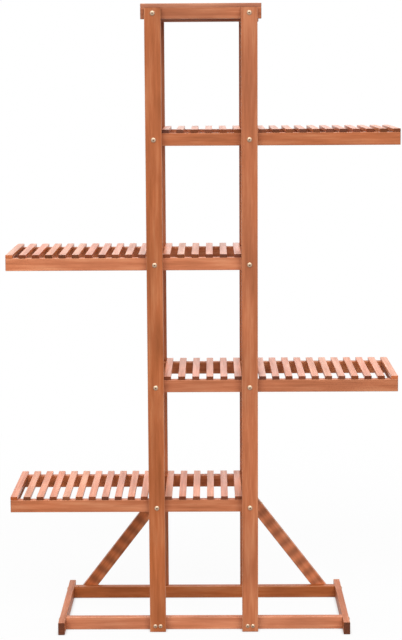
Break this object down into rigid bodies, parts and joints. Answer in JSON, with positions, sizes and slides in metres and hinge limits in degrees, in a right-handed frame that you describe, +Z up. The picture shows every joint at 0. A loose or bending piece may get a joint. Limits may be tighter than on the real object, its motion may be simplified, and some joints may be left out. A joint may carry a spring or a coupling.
{
  "type": "plant stand",
  "caption": "Tall free-standing slatted wooden plant stand with shelves that reach out left and right by turns from a post frame, on a braced runner base.",
  "frame": {"origin": "on the floor, midway between the four posts, which is the middle of the bounding box's base", "axes": "+X to the right as seen from the front, +Y to the rear where the braces are, +Z up"},
  "size_m": [0.779, 0.25, 1.26],
  "materials": {
    "stained_timber": "red-brown stained softwood, satin",
    "zinc_steel": "zinc plated",
    "brass": "machined"
  },
  "bodies": {
    "root": {"base_screws": "zinc_steel", "brace_foot_screws": "zinc_steel", "brace_post_screws": "zinc_steel", "front_base_rail": "stained_timber", "front_left_post": "stained_timber", "front_right_post": "stained_timber", "left_brace": "stained_timber", "left_runner": "stained_timber", "rear_base_rail": "stained_timber", "rear_left_post": "stained_timber", "rear_right_post": "stained_timber", "right_brace": "stained_timber", "right_runner": "stained_timber", "runner_screws": "zinc_steel", "shelf_1_bolts": "zinc_steel", "shelf_1_brads": "zinc_steel", "shelf_1_end_rail": "stained_timber", "shelf_1_front_rail": "stained_timber", "shelf_1_inner_slats": "stained_timber", "shelf_1_inserts": "brass", "shelf_1_outer_slats": "stained_timber", "shelf_1_rear_rail": "stained_timber", "shelf_2_bolts": "zinc_steel", "shelf_2_brads": "zinc_steel", "shelf_2_end_rail": "stained_timber", "shelf_2_front_rail": "stained_timber", "shelf_2_inner_slats": "stained_timber", "shelf_2_inserts": "brass", "shelf_2_outer_slats": "stained_timber", "shelf_2_rear_rail": "stained_timber", "shelf_3_bolts": "zinc_steel", "shelf_3_brads": "zinc_steel", "shelf_3_end_rail": "stained_timber", "shelf_3_front_rail": "stained_timber", "shelf_3_inner_slats": "stained_timber", "shelf_3_inserts": "brass", "shelf_3_outer_slats": "stained_timber", "shelf_3_rear_rail": "stained_timber", "shelf_4_bolts": "zinc_steel", "shelf_4_brads": "zinc_steel", "shelf_4_end_rail": "stained_timber", "shelf_4_front_rail": "stained_timber", "shelf_4_inner_slats": "stained_timber", "shelf_4_inserts": "brass", "shelf_4_outer_slats": "stained_timber", "shelf_4_rear_rail": "stained_timber", "top_bearer_screws": "zinc_steel", "top_board_1": "stained_timber", "top_board_2": "stained_timber", "top_board_3": "stained_timber", "top_board_4": "stained_timber", "top_board_5": "stained_timber", "top_bolts": "zinc_steel", "top_brads": "zinc_steel", "top_front_rail": "stained_timber", "top_inserts": "brass", "top_left_bearer": "stained_timber", "top_rear_rail": "stained_timber", "top_right_bearer": "stained_timber"}
  },
  "joints": []
}
